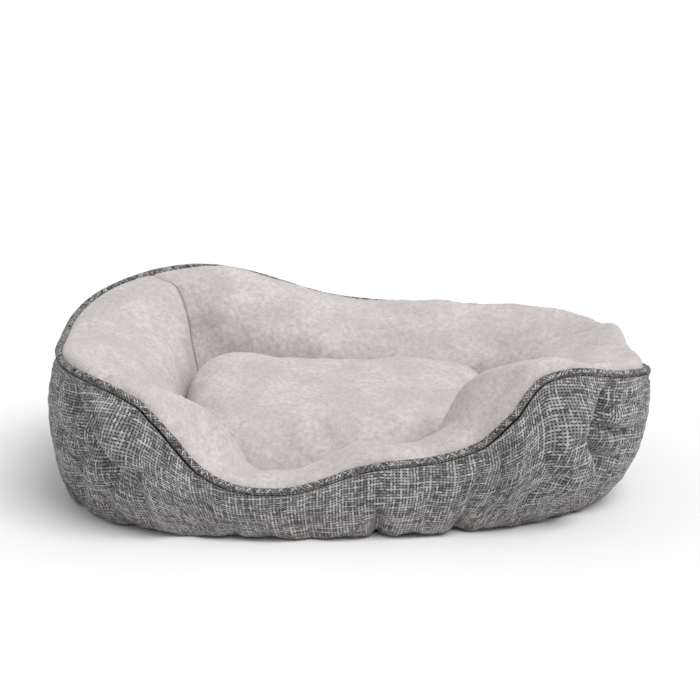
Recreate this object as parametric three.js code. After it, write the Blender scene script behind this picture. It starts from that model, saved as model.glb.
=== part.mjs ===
// Pet cushion bed: a thick stuffed wall round a padded floor, low at the front, and a loose cushion.
// Millimetres, +Z up, the front towards -Y. The origin is on the floor, under the middle of the bed.
import * as THREE from "three";
import { LoftGeometry } from "three/addons/geometries/LoftGeometry.js";

// Plan outlines: superellipses with half width, half depth, squareness, and a shift along X.
const FLOOR_LINE = { halfX: 289, halfY: 203, square: 2.4, shiftX: -9 };
const BULGE_LINE = { halfX: 306, halfY: 236, square: 3.2, shiftX: -2 };
const RIM_LINE = { halfX: 302, halfY: 219, square: 3.6, shiftX: 5 };
const WELL_LINE = { halfX: 174, halfY: 114, square: 4.8, shiftX: -6 };

// Height of the rim round the wall: [bearing in degrees from +X towards +Y, height].
const RIM_HEIGHTS = [
  [0, 128],
  [45, 138],
  [90, 152],
  [128, 192],
  [165, 156],
  [202, 163],
  [223, 140],
  [232, 72],
  [249, 54],
  [271, 76],
  [299, 96],
  [309.5, 162],
  [327, 156],
];
// The outlines' middle lies this far from the middle of the finished bed along Y, because the low
// front bulges less than the back.
const PLAN_SHIFT = -7;
// A wall with its rim at or below the low height has the low front's shape, and one at or above the
// tall height has the shape of the sides and back. It changes smoothly in between.
const LOW_RIM = 70;
const TALL_RIM = 130;
// How far the low front leans and bulges past its foot.
const LOW_LEAN = 7;
const LOW_BULGE = 11;
// How far the padding crowns over the rim: at the low front, and on the tall walls.
const LOW_CREST = 6;
const TALL_CREST = 9;
// How far the outer cover is turned under to its seam with the base cloth, and how far in the base
// cloth's own edge lies.
const HEM = 16;
const BASE_INSET = 18;

// Shape of the outer cover in section. Heights are shares of the rim's height, and out is a share of
// the way from the foot to the widest place.
const FOOT_CURL = { height: 0.06, lift: 2 };
const SWELL = { height: 0.34, out: 0.72 };
const WIDEST = 0.68;
const RIM_OVERHANG = 1;

// Shape of the padded inside in section: in is a share of the way from the rim to the well.
const SHOULDER = { in: 0.16 };
const SLOPE = { in: 0.45, height: 0.98, lift: 2 };
const BROW = { in: 0.78, height: 0.78, lift: 4 };
const WELL_SIDE = { height: 0.5, least: 30 };

// Cloth and padding.
const CLOTH = 2;
const PLUSH = 4;
const GAP = 0.4;
const FILL_GAP = 2.3;
const BASE_CLOTH = 1.5;
const WADDING = 9;
const DECK_CLOTH = 1.2;
const BAFFLE = 1.2;

// Piping along the rim.
const PIPING_RADIUS = 3.6;
const PIPING_BORE = 2.6;
const CORD_RADIUS = 2.1;
const PIPING_SLIT = THREE.MathUtils.degToRad(50);
const PIPING_SEAM = THREE.MathUtils.degToRad(225);

// Loose cushion.
const CUSHION_CLEARANCE = 3;
const CUSHION_FRONT = 82;
const CUSHION_BACK = 120;
// Height of its seam as a share of its thickness, and how round its faces are near the seam.
const CUSHION_SEAM = 0.45;
const TOP_ROUND = { square: 3.6, power: 0.55 };
const UNDER_ROUND = { square: 5, power: 0.5 };
const CUSHION_RINGS = [0, 0.3, 0.6, 0.8, 0.92, 0.98];

// Steps of the meshes. The walls share one ring of bearings, and meet at its steps.
const RING_STEPS = 64;
const STEP = 360 / RING_STEPS;
const CORNERS = { frontRight: -7 * STEP, backRight: 4 * STEP, backLeft: 25 * STEP, frontLeft: 39 * STEP };
const PIPING_JOIN = -4 * STEP;
const PILLOW_STEPS = 44;
const SKIN_POINTS = 6;
const LINER_POINTS = 8;
const TUBE_SIDES = 6;

const DECK_TOP = BASE_CLOTH + WADDING + DECK_CLOTH + 3 * GAP;
const { degToRad, lerp, clamp } = THREE.MathUtils;

const material = (color, roughness) =>
  new THREE.MeshStandardMaterial({ color, roughness, metalness: 0 });

const materials = {
  woven: material(0x808287, 0.95),
  piping: material(0x77797e, 0.95),
  plush: material(0xcfcac7, 1),
  fibre: material(0xf2f2ee, 1),
  base: material(0x3a3b3d, 0.9),
  lining: material(0xb9b6b2, 0.95),
  cord: material(0xe6e3dc, 0.9),
};

// Distance from the middle to an outline, along a bearing in degrees.
function reach(line, bearing, inset = 0) {
  const c = Math.cos(degToRad(bearing));
  const s = Math.sin(degToRad(bearing));
  const x = Math.abs(c) / (line.halfX - inset);
  const y = Math.abs(s) / (line.halfY - inset);
  const radius = Math.pow(x ** line.square + y ** line.square, -1 / line.square);
  return radius + line.shiftX * c;
}

// Smooth curve through [bearing, value] stations that closes on itself after 360 degrees.
function roundTheRing(stations, bearing) {
  const n = stations.length;
  const at = (i) => {
    const turn = Math.floor(i / n);
    const [place, value] = stations[i - turn * n];
    return [place + 360 * turn, value];
  };
  const b = ((bearing % 360) + 360) % 360;
  let i = 0;
  while (i < n - 1 && stations[i + 1][0] <= b) i += 1;
  const [[xa, ya], [x0, y0], [x1, y1], [xb, yb]] = [at(i - 1), at(i), at(i + 1), at(i + 2)];
  const width = x1 - x0;
  const t = (b - x0) / width;
  const slope0 = ((y1 - ya) / (x1 - xa)) * width;
  const slope1 = ((yb - y0) / (xb - x0)) * width;
  const a = 2 * t ** 3 - 3 * t ** 2 + 1;
  return a * y0 + (1 - a) * y1 + (t ** 3 - 2 * t ** 2 + t) * slope0 + (t ** 3 - t ** 2) * slope1;
}

// The wall's outline at a bearing: the distances of its foot, its widest place and its rim from the
// middle, and the height of its rim.
function outlineAt(bearing) {
  const height = roundTheRing(RIM_HEIGHTS, bearing);
  const tall = clamp((height - LOW_RIM) / (TALL_RIM - LOW_RIM), 0, 1);
  const foot = reach(FLOOR_LINE, bearing);
  const bulge = lerp(foot + LOW_BULGE, reach(BULGE_LINE, bearing), tall);
  const rim = lerp(foot + LOW_LEAN, reach(RIM_LINE, bearing), tall);
  return { height, tall, foot, bulge, rim };
}

function ringPoint(radius, height, bearing) {
  const angle = degToRad(bearing);
  return new THREE.Vector3(radius * Math.cos(angle), radius * Math.sin(angle), height);
}

// Centre of the piping, on the rim.
function rimPoint(bearing) {
  const { rim, height } = outlineAt(bearing);
  return ringPoint(rim, height, bearing);
}

function alongRim(bearing) {
  return rimPoint(bearing + STEP / 2).sub(rimPoint(bearing - STEP / 2)).normalize();
}

// The wall's outer and inner skins at a bearing, as splines of distance from the middle against
// height. They stop beside the piping, further off where the rim runs steep or slanting.
function wallAt(bearing) {
  const { height, tall, foot, bulge, rim } = outlineAt(bearing);
  const along = alongRim(bearing);
  const crest = lerp(LOW_CREST, TALL_CREST, tall);
  const clear = PIPING_RADIUS + 2 * GAP;
  const below = clear / Math.sqrt(1 - along.z ** 2);
  const beside = clear / Math.sqrt(1 - along.dot(ringPoint(1, 0, bearing)) ** 2);
  const well = reach(WELL_LINE, bearing);
  const thick = rim - well;
  const outer = new THREE.SplineCurve([
    new THREE.Vector2(foot - HEM, BASE_CLOTH + GAP),
    new THREE.Vector2(foot, FOOT_CURL.height * height + FOOT_CURL.lift),
    new THREE.Vector2(lerp(foot, bulge, SWELL.out), SWELL.height * height),
    new THREE.Vector2(bulge, WIDEST * height),
    new THREE.Vector2(rim + RIM_OVERHANG, height - below),
  ]);
  const liner = new THREE.SplineCurve([
    new THREE.Vector2(rim - beside, height + 2 * GAP),
    new THREE.Vector2(rim - SHOULDER.in * thick, height + crest),
    new THREE.Vector2(rim - SLOPE.in * thick, height * SLOPE.height + SLOPE.lift),
    new THREE.Vector2(rim - BROW.in * thick, height * BROW.height + BROW.lift),
    new THREE.Vector2(well, Math.max(WELL_SIDE.height * height, WELL_SIDE.least)),
    new THREE.Vector2(well, DECK_TOP + PLUSH),
  ]);
  return { outer, liner };
}

// A point of a wall skin moved towards the fill by an inset.
function skinPoint(spline, share, inset, bearing) {
  const { x, y } = spline.getPoint(share);
  const along = spline.getTangent(share);
  return ringPoint(x - along.y * inset, y + along.x * inset, bearing);
}

// Evenly spaced points along a wall skin, moved in by an inset.
function skinRow(spline, count, inset, bearing) {
  const row = [];
  for (let i = 0; i < count; i++) row.push(skinPoint(spline, i / (count - 1), inset, bearing));
  return row;
}

// Cross-section of a cloth skin: out along one face and back along the other.
function shellSection(spline, count, thickness, bearing) {
  const face = skinRow(spline, count, 0, bearing);
  const back = skinRow(spline, count, thickness, bearing);
  return [...face, ...back.reverse()];
}

function outerSection(bearing) {
  return shellSection(wallAt(bearing).outer, SKIN_POINTS, CLOTH, bearing);
}

function linerSection(bearing) {
  return shellSection(wallAt(bearing).liner, LINER_POINTS, PLUSH, bearing);
}

function fillSection(bearing) {
  const { outer, liner } = wallAt(bearing);
  return [
    ...skinRow(outer, SKIN_POINTS, CLOTH + FILL_GAP, bearing).slice(0, -1),
    ...skinRow(liner, LINER_POINTS, PLUSH + FILL_GAP, bearing).slice(1),
    ringPoint(reach(WELL_LINE, bearing) + PLUSH + FILL_GAP, BASE_CLOTH + GAP, bearing),
  ];
}

// A solid lofted through closed sections and capped at both ends.
function cappedLoft(sections) {
  return new LoftGeometry(sections.map((points) => [...points].reverse()), {
    capStart: true,
    capEnd: true,
  });
}

// Bearings from one to another, by way of every step of the ring in between.
function bearingsBetween(from, to) {
  const list = [from];
  for (let k = Math.floor(from / STEP) + 1; k * STEP < to; k++) {
    if (k * STEP - from > STEP / 4 && to - k * STEP > STEP / 4) list.push(k * STEP);
  }
  return [...list, to];
}

// The turn that moves a bearing sideways by a width, at the edge of the well.
const turnOf = (width, bearing) => THREE.MathUtils.radToDeg(width / reach(WELL_LINE, bearing));

// A length of wall between two corners, kept clear of what is in the corners.
function wallPiece(section, from, to, clear) {
  const bearings = bearingsBetween(from + turnOf(clear, from), to - turnOf(clear, to));
  return cappedLoft(bearings.map(section));
}

function baffle(bearing) {
  const half = turnOf(BAFFLE / 2, bearing);
  return cappedLoft([fillSection(bearing - half), fillSection(bearing + half)]);
}

// Tube along the rim from one side of the join round to the other. The profile gives
// [radius, angle] pairs, with angle 0 pointing out of the bed and 90 degrees up.
function rimTube(profile) {
  const halfJoin = turnOf(GAP, PIPING_JOIN);
  const bearings = bearingsBetween(PIPING_JOIN + halfJoin, PIPING_JOIN + 360 - halfJoin);
  return cappedLoft(
    bearings.map((bearing) => {
      const centre = rimPoint(bearing);
      const along = alongRim(bearing);
      const out = ringPoint(1, 0, bearing);
      out.addScaledVector(along, -out.dot(along)).normalize();
      const up = new THREE.Vector3().crossVectors(out, along);
      return profile.map(([radius, angle]) =>
        centre
          .clone()
          .addScaledVector(out, radius * Math.cos(angle))
          .addScaledVector(up, radius * Math.sin(angle)),
      );
    }),
  );
}

function arc(radius, from, to, count) {
  const points = [];
  for (let i = 0; i < count; i++) points.push([radius, lerp(from, to, i / (count - 1))]);
  return points;
}

// Cloth wrapped round the cord, open along the side that is sewn into the seam.
function pipingCover() {
  const from = PIPING_SEAM + PIPING_SLIT / 2;
  const to = PIPING_SEAM + 2 * Math.PI - PIPING_SLIT / 2;
  const sides = TUBE_SIDES + 2;
  return rimTube([
    ...arc(PIPING_RADIUS, from, to, sides),
    ...arc(PIPING_BORE, to, from, sides),
  ]);
}

function pipingCord() {
  const last = 2 * Math.PI * (1 - 1 / TUBE_SIDES);
  return rimTube(arc(CORD_RADIUS, 0, last, TUBE_SIDES));
}

// Flat sheet with a plan outline, from a bottom height.
function sheet(line, inset, thickness) {
  const points = [];
  for (let i = 0; i < RING_STEPS; i++) {
    const bearing = (360 * i) / RING_STEPS;
    const angle = degToRad(bearing);
    const r = reach(line, bearing, inset);
    points.push(new THREE.Vector2(r * Math.cos(angle), r * Math.sin(angle)));
  }
  return new THREE.ExtrudeGeometry(new THREE.Shape(points), {
    depth: thickness,
    bevelEnabled: false,
  });
}

// Height of the cushion over its underside: fuller at the back than at the front.
function cushionCrown(y) {
  const back = (y / WELL_LINE.halfY + 1) / 2;
  return lerp(CUSHION_FRONT, CUSHION_BACK, back) - DECK_TOP - GAP;
}

// How full a face is at a share of the way from its middle to the seam at its edge.
const fullness = (round, share) => (1 - share ** round.square) ** round.power;

// The heights of the cushion's two faces, as shares of its thickness.
const FACES = {
  top: (share) => CUSHION_SEAM + (1 - CUSHION_SEAM) * fullness(TOP_ROUND, share),
  under: (share) => CUSHION_SEAM * (1 - fullness(UNDER_ROUND, share)),
};

// A ring of points round the cushion, on one face and moved inwards by an inset.
function cushionRing(face, share, inset) {
  const points = [];
  const sink = face === "top" ? -inset : inset;
  for (let i = 0; i < PILLOW_STEPS; i++) {
    const bearing = (360 * i) / PILLOW_STEPS;
    const radius = share * reach(WELL_LINE, bearing, CUSHION_CLEARANCE + inset);
    const point = ringPoint(radius, DECK_TOP + GAP + sink, bearing);
    point.z += cushionCrown(point.y) * FACES[face](share);
    points.push(point);
  }
  return points;
}

// Rings from the middle of a face, where the first has no width, out to its seam.
const faceRings = (face, inset) =>
  CUSHION_RINGS.map((share) => cushionRing(face, share, inset));

// The ring at the cushion's seam, on one side of it.
function seamRing(face, inset) {
  const ring = cushionRing(face, 1, inset);
  const level = (face === "top" ? GAP : -GAP) / 2;
  for (const point of ring) point.z = DECK_TOP + GAP + cushionCrown(point.y) * CUSHION_SEAM + level;
  return ring;
}

// One half of the cushion's cover: along its outside to the seam and back along its inside.
function cushionCover(face) {
  const inside = faceRings(face, PLUSH).reverse();
  const rings = [...faceRings(face, 0), seamRing(face, 0), seamRing(face, PLUSH), ...inside];
  return new LoftGeometry(face === "top" ? rings.reverse() : rings);
}

function cushionFill() {
  const inset = PLUSH + GAP;
  return new LoftGeometry([...faceRings("under", inset), ...faceRings("top", inset).reverse()]);
}

const bed = new THREE.Group();
bed.name = "pet_cushion_bed";

function add(name, geometry, finish, height = 0) {
  const mesh = new THREE.Mesh(geometry, finish.clone());
  mesh.name = name;
  mesh.position.set(0, PLAN_SHIFT, height);
  bed.add(mesh);
}

const { frontRight, backRight, backLeft, frontLeft } = CORNERS;
const walls = [
  ["right", frontRight, backRight],
  ["back", backRight, backLeft],
  ["left", backLeft, frontLeft],
  ["front", frontLeft, frontRight + 360],
];

add("base_cloth", sheet(FLOOR_LINE, BASE_INSET, BASE_CLOTH), materials.base);
add("base_wadding", sheet(WELL_LINE, GAP, WADDING), materials.fibre, BASE_CLOTH + GAP);
add("floor_lining", sheet(WELL_LINE, -PLUSH / 2, DECK_CLOTH), materials.lining, DECK_TOP - DECK_CLOTH);

for (const [side, from, to] of walls) {
  add(`liner_${side}`, wallPiece(linerSection, from, to, GAP / 2), materials.plush);
  add(`fill_${side}`, wallPiece(fillSection, from, to, BAFFLE / 2 + GAP), materials.fibre);
}
add("baffle_front_right", baffle(frontRight), materials.lining);
add("baffle_back_right", baffle(backRight), materials.lining);
add("baffle_back_left", baffle(backLeft), materials.lining);
add("baffle_front_left", baffle(frontLeft), materials.lining);
add("outer_wrap", wallPiece(outerSection, backLeft, backRight + 360, GAP / 2), materials.woven);
add("outer_back", wallPiece(outerSection, backRight, backLeft, GAP / 2), materials.woven);
add("piping_cover", pipingCover(), materials.piping);
add("piping_cord", pipingCord(), materials.cord);
add("cushion_top", cushionCover("top"), materials.plush);
add("cushion_bottom", cushionCover("under"), materials.lining);
add("cushion_fill", cushionFill(), materials.fibre);

export default bed;
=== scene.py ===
import math

import bpy
import numpy as np
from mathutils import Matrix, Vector


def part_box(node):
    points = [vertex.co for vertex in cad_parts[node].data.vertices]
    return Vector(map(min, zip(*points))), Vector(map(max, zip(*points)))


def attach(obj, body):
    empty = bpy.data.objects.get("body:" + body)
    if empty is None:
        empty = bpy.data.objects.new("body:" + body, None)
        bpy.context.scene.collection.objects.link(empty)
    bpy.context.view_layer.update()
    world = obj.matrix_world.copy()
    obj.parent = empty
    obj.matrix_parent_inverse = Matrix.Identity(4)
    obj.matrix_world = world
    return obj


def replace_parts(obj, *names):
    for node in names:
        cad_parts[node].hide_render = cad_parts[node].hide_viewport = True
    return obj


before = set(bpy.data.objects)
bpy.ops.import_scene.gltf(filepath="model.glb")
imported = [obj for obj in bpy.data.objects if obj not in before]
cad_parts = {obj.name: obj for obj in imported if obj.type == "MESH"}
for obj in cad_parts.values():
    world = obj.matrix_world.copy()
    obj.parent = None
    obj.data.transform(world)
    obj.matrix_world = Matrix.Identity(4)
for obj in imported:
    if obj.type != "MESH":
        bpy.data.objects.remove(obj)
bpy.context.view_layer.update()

# ---------------------------------------------------------------- driving dimensions, as in the frame
# Plan outlines: half width, half depth, squareness, shift along X.
FLOOR_LINE = (0.289, 0.203, 2.4, -0.009)
BULGE_LINE = (0.306, 0.236, 3.2, -0.002)
RIM_LINE = (0.302, 0.219, 3.6, 0.005)
WELL_LINE = (0.174, 0.114, 4.8, -0.006)
PLAN_SHIFT = -0.007
# Height of the rim round the wall: bearing, height in millimetres.
RIM_HEIGHTS = [(0, 128), (45, 138), (90, 152), (128, 192), (165, 156), (202, 163), (223, 140),
               (232, 72), (249, 54), (271, 76), (299, 96), (309.5, 162), (327, 156)]
LOW_RIM, TALL_RIM = 0.070, 0.130
HEM = 0.016
CORNERS = (-39.375, 22.5, 140.625, 219.375)
SIDES = ("right", "back", "left", "front")
PIPING_RADIUS = 0.0036
CORD_RADIUS = 0.0021
PIPING_JOIN = -22.5

BASE_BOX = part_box("base_cloth")
DECK_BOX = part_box("floor_lining")
CUSHION_BOX = (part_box("cushion_bottom")[0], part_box("cushion_top")[1])
HEM_HEIGHT = BASE_BOX[1].z + 0.0004
DECK_TOP = DECK_BOX[1].z

# ---------------------------------------------------------------- grid and cloth
SPACING = 0.005
OUTER_ROWS = 40
LINER_ROWS = 48
COVER_THICKNESS = 0.0016
PLUSH_THICKNESS = 0.003
WALL_PUFF = 0.007
WELL_PUFF = 0.002
CUSHION_PUFF = 0.008


def reach(line, bearing, inset=0.0):
    """Distance from the middle to a plan outline along bearings."""
    half_x, half_y, square, shift = line
    c, s = np.cos(np.radians(bearing)), np.sin(np.radians(bearing))
    x, y = np.abs(c) / (half_x - inset), np.abs(s) / (half_y - inset)
    return (x**square + y**square) ** (-1 / square) + shift * c


def rim_height(bearing):
    """Smooth closed curve through the rim's stations."""
    places, values = np.array(RIM_HEIGHTS, float).T
    n = len(places)
    b = np.mod(bearing, 360)
    i = np.searchsorted(places, b, side="right") - 1

    def at(k):
        return places[k % n] + 360 * (k // n), values[k % n] / 1000

    (xa, ya), (x0, y0), (x1, y1), (xb, yb) = at(i - 1), at(i), at(i + 1), at(i + 2)
    width = x1 - x0
    t = (b - x0) / width
    slope0, slope1 = (y1 - ya) / (x1 - xa) * width, (yb - y0) / (xb - x0) * width
    a = 2 * t**3 - 3 * t**2 + 1
    return a * y0 + (1 - a) * y1 + (t**3 - 2 * t**2 + t) * slope0 + (t**3 - t**2) * slope1


def lerp(a, b, t):
    return a + (b - a) * t


def smooth(a, b, x):
    t = np.clip((x - a) / (b - a), 0, 1)
    return t * t * (3 - 2 * t)


def turn_off(value, period):
    """A difference on a closed line, between minus and plus half its length."""
    return (value + period / 2) % period - period / 2


def bump(bearing, place, width):
    """A soft rise to 1 at a bearing."""
    return np.exp(-((turn_off(bearing - place, 360) / width) ** 2))


def outline(bearing):
    """The wall's rim height, its fullness, and the distances of its foot, widest place and rim."""
    height = rim_height(bearing)
    tall = np.clip((height - LOW_RIM) / (TALL_RIM - LOW_RIM), 0, 1)
    foot = reach(FLOOR_LINE, bearing)
    bulge = lerp(foot + 0.011, reach(BULGE_LINE, bearing), tall)
    # The rim is drawn in a little at the right end.
    rim = lerp(foot + 0.007, reach(RIM_LINE, bearing), tall) - 0.005 * bump(bearing, 348, 25)
    return height, tall, foot, bulge, rim


def round_point(radius, height, bearing):
    angle = np.radians(bearing)
    height = np.broadcast_to(height, np.shape(radius))
    return np.stack([radius * np.cos(angle), radius * np.sin(angle) + PLAN_SHIFT, height], -1)


def rim_path(bearing):
    height, _, _, _, rim = outline(bearing)
    return round_point(rim, height, bearing)


def spline(points, count):
    """Evenly spaced points along a smooth curve through points (K, N, 2), one curve per column."""
    points = np.stack(np.broadcast_arrays(*points)) if isinstance(points, list) else points
    k = len(points)
    t = np.linspace(0, k - 1, 24 * k)
    i = np.minimum(t.astype(int), k - 2)
    w = (t - i)[:, None, None]
    before, start, end = points[np.maximum(i - 1, 0)], points[i], points[i + 1]
    after = points[np.minimum(i + 2, k - 1)]
    slope0, slope1 = (end - before) / 2, (after - start) / 2
    dense = ((2 * start - 2 * end + slope0 + slope1) * w**3
             + (-3 * start + 3 * end - 2 * slope0 - slope1) * w**2 + slope0 * w + start)
    lengths = np.linalg.norm(np.diff(dense, axis=0), axis=-1)
    along = np.concatenate([np.zeros((1, lengths.shape[1])), np.cumsum(lengths, 0)])
    out = np.empty((count, points.shape[1], 2))
    for column in range(points.shape[1]):
        want = np.linspace(0, along[-1, column], count)
        for axis in range(2):
            out[:, column, axis] = np.interp(want, along[:, column], dense[:, column, axis])
    return out


def wall_columns():
    """Bearings of the grid's columns, evenly spaced round the widest place, with one on each corner."""
    bearings, marks = [], []
    for k, start in enumerate(CORNERS):
        stop = CORNERS[(k + 1) % 4] + (360 if k == 3 else 0)
        fine = np.linspace(start, stop, 400)
        plan = round_point(reach(BULGE_LINE, fine), 0.0, fine)
        along = np.concatenate([[0], np.cumsum(np.linalg.norm(np.diff(plan, axis=0), axis=1))])
        count = 2 * round(along[-1] / SPACING / 2)
        marks.append(len(bearings))
        bearings += list(np.interp(np.linspace(0, along[-1], count + 1)[:-1], along, fine))
    return np.array(bearings), marks


def wall_profiles(bearing):
    """Rows of the outer cover from hem to rim, of its edge turned in below the piping, and of the
    lining from rim to deck, as (x, height)."""
    height, tall, foot, bulge, rim = outline(bearing)
    ahead, behind = rim_path(bearing + 0.5), rim_path(bearing - 0.5)
    along = (ahead - behind) / np.linalg.norm(ahead - behind, axis=-1, keepdims=True)
    steep = 1 / np.sqrt(1 - along[:, 2] ** 2)
    well = reach(WELL_LINE, bearing)
    thick = rim - well
    r = PIPING_RADIUS
    # The padding hardly rises over the rim round the back left, and most at the back right.
    crest = lerp(0.006, 0.009, tall) - 0.0075 * bump(bearing, 145, 45) + 0.0175 * bump(bearing, 2, 21)
    # The low front is plump: its lining rises behind the piping.
    plump = 0.012 * bump(bearing, 272, 32)

    def row(x, z):
        return np.stack(np.broadcast_arrays(x, z), -1)

    outer = spline(np.stack([
        row(foot - HEM, HEM_HEIGHT),
        row(foot - 0.0025, 0.026 * height + 0.0010),
        row(lerp(foot, bulge, 0.72), 0.34 * height),
        row(bulge, 0.68 * height),
        row(rim + 0.0033, height - 1.12 * r * steep),
    ]), OUTER_ROWS)
    edge = np.stack([
        row(rim + 0.0025, height - 0.98 * r * steep),
        row(rim + 0.0010, height - 0.90 * r * steep),
        row(rim - 0.0008, height - 0.75 * r * steep),
    ])
    liner = spline(np.stack([
        row(rim - 0.7 * r, height - 0.2 * r * steep),
        row(rim - 0.13 * thick, height + crest + 0.35 * plump),
        row(rim - 0.45 * thick, height * 0.98 + 0.002 + plump),
        row(rim - 0.78 * thick, height * 0.78 + 0.004 + 0.6 * plump),
        row(well, np.maximum(0.5 * height, 0.030)),
        row(well + 0.001, DECK_TOP + 0.003),
    ]), LINER_ROWS)
    return outer, edge, liner


def normals(points):
    """Unit normals of a grid of rows and columns that closes on itself along its columns."""
    across = np.roll(points, -1, 1) - np.roll(points, 1, 1)
    up = np.gradient(points, axis=0)
    n = np.cross(across, up)
    return n / np.maximum(np.linalg.norm(n, axis=-1, keepdims=True), 1e-12)


def waves(points, size, seed, count=14):
    """Soft random swells of about a size, from -1 to 1: a sum of waves in fixed random directions."""
    rng = np.random.default_rng(seed)
    total = np.zeros(points.shape[:-1])
    for _ in range(count):
        direction = rng.normal(size=3)
        direction *= rng.uniform(0.7, 1.4) / np.linalg.norm(direction)
        total += np.sin(points @ direction * (2 * math.pi / size) + rng.uniform(0, 2 * math.pi))
    return total / math.sqrt(2 * count)


# ---------------------------------------------------------------- folds, creases and tacks
# Folds of the outer cover: places as (bearing, share of the height), depth, widths on the side of
# smaller and of larger bearings, and how far the cloth swells over the fold, on the side of larger
# bearings (positive) or of smaller ones.
FOLDS = [
    ([(207.5, 0.97), (210.2, 0.88), (212.5, 0.83), (214.2, 0.76), (216.2, 0.67), (218.2, 0.58),
      (220, 0.52), (222, 0.47), (224, 0.46)], 0.034, 0.018, 0.005, 0.010),
    ([(221, 0.50), (225, 0.55), (228, 0.66)], 0.007, 0.007, 0.007, 0.0),
    ([(213, 0.60), (209, 0.46), (205, 0.28), (202, 0.10)], 0.010, 0.012, 0.010, 0.003),
    ([(209, 0.66), (204, 0.58), (198, 0.56)], 0.006, 0.008, 0.008, 0.0),
    ([(219, 0.43), (214.5, 0.28), (210, 0.10)], 0.007, 0.007, 0.007, 0.002),
    ([(223, 0.38), (222, 0.25), (220, 0.08)], 0.005, 0.006, 0.006, 0.002),
    ([(228, 0.38), (230, 0.24), (231, 0.08)], 0.0035, 0.007, 0.007, 0.0),
    ([(322, 0.95), (319.8, 0.85), (318.5, 0.78), (317.5, 0.70), (316.8, 0.62), (318, 0.54),
      (320.5, 0.45), (322.5, 0.36), (324.5, 0.22), (326, 0.06)], 0.024, 0.005, 0.022, -0.009),
    ([(317.5, 0.66), (322, 0.65), (327, 0.61), (333, 0.60)], 0.011, 0.006, 0.006, 0.004),
    ([(319, 0.74), (324, 0.78), (331, 0.80)], 0.006, 0.006, 0.006, 0.0),
    ([(318, 0.45), (323, 0.40), (330, 0.38)], 0.006, 0.006, 0.006, 0.0),
    ([(317, 0.42), (312, 0.30), (308, 0.14)], 0.006, 0.008, 0.008, 0.0),
    ([(300.5, 0.97), (298.5, 0.75), (297.5, 0.50), (297.5, 0.25), (297.5, 0.05)],
     0.009, 0.010, 0.014, -0.003),
    ([(288, 0.62), (287.5, 0.35), (287, 0.10)], 0.003, 0.010, 0.010, 0.0),
    ([(275, 0.50), (275, 0.05)], 0.005, 0.010, 0.010, 0.0),
    ([(22, 0.97), (24, 0.60), (23, 0.25), (22, 0.05)], 0.012, 0.010, 0.014, 0.004),
    ([(27, 0.62), (34, 0.50), (41, 0.46)], 0.005, 0.007, 0.007, 0.0),
    ([(143, 0.97), (140, 0.65), (141, 0.30), (143, 0.05)], 0.013, 0.014, 0.010, -0.004),
    ([(139, 0.60), (132, 0.48), (126, 0.42)], 0.006, 0.007, 0.007, 0.0),
    ([(66, 0.45), (67, 0.06)], 0.004, 0.012, 0.012, 0.0),
    ([(91, 0.55), (92, 0.30), (91, 0.06)], 0.005, 0.012, 0.012, 0.0),
    ([(118, 0.45), (118, 0.06)], 0.004, 0.012, 0.012, 0.0),
    ([(176, 0.50), (174, 0.28), (175, 0.06)], 0.004, 0.012, 0.012, 0.0),
    ([(346, 0.48), (347, 0.26), (347, 0.06)], 0.004, 0.012, 0.012, 0.0),
]
# Tacks that draw the hem in and up: bearing, size.
TACKS = [(275, 1.0), (297.5, 1.0), (322, 0.6), (347, 0.6), (4, 0.5), (23, 0.8), (44, 0.6), (66, 0.7), (91, 0.8),
         (118, 0.7), (143, 0.9), (163, 0.6), (180, 0.6), (197.5, 1.0), (214, 0.35), (238, 0.2), (257, 0.2)]
TACK_WIDTH = 0.009
# Creases of the lining where two walls meet: depth, its share at the rim, widths on the two sides
# (towards smaller and towards larger bearings), and how many degrees the crease lies off the corner
# at the rim and at the well.
CREASES = {-39.375: (0.022, 0.12, 0.030, 0.030, 0.0, 5.0), 22.5: (0.026, 0.06, 0.016, 0.050, -9.0, 9.0),
           140.625: (0.026, 0.20, 0.050, 0.018, -3.5, 4.0), 219.375: (0.022, 0.20, 0.030, 0.030, -4.5, -6.0)}
# Swells of the lining: bearing, share of the way from the rim to the deck, height, and size round the
# wall in degrees and down it.
SWELLS = [(160, 0.42, 0.014, 16, 0.20), (352, 0.35, 0.005, 20, 0.22), (95, 0.40, 0.004, 30, 0.22)]


def path_distance(u, z, path):
    """Signed distance to a path on the unrolled wall, the share of the way along it, and the
    direction away from it."""
    best = np.full(u.shape, 1e9)
    side, share = np.zeros(u.shape), np.zeros(u.shape)
    away = np.zeros((2,) + u.shape)
    steps = np.linalg.norm(np.diff(path, axis=0), axis=1)
    begun = np.concatenate([[0], np.cumsum(steps)]) / steps.sum()
    for k in range(len(path) - 1):
        a, d = path[k], path[k + 1] - path[k]
        t = np.clip(((u - a[0]) * d[0] + (z - a[1]) * d[1]) / (d @ d), 0, 1)
        du, dz = u - a[0] - t * d[0], z - a[1] - t * d[1]
        far = np.hypot(du, dz)
        near = far < best
        best = np.where(near, far, best)
        side = np.where(near, np.sign(du), side)
        share = np.where(near, lerp(begun[k], begun[k + 1], t), share)
        away = np.where(near, np.stack([du, dz]) / np.maximum(far, 1e-6), away)
    return best * side, share, away


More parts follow.
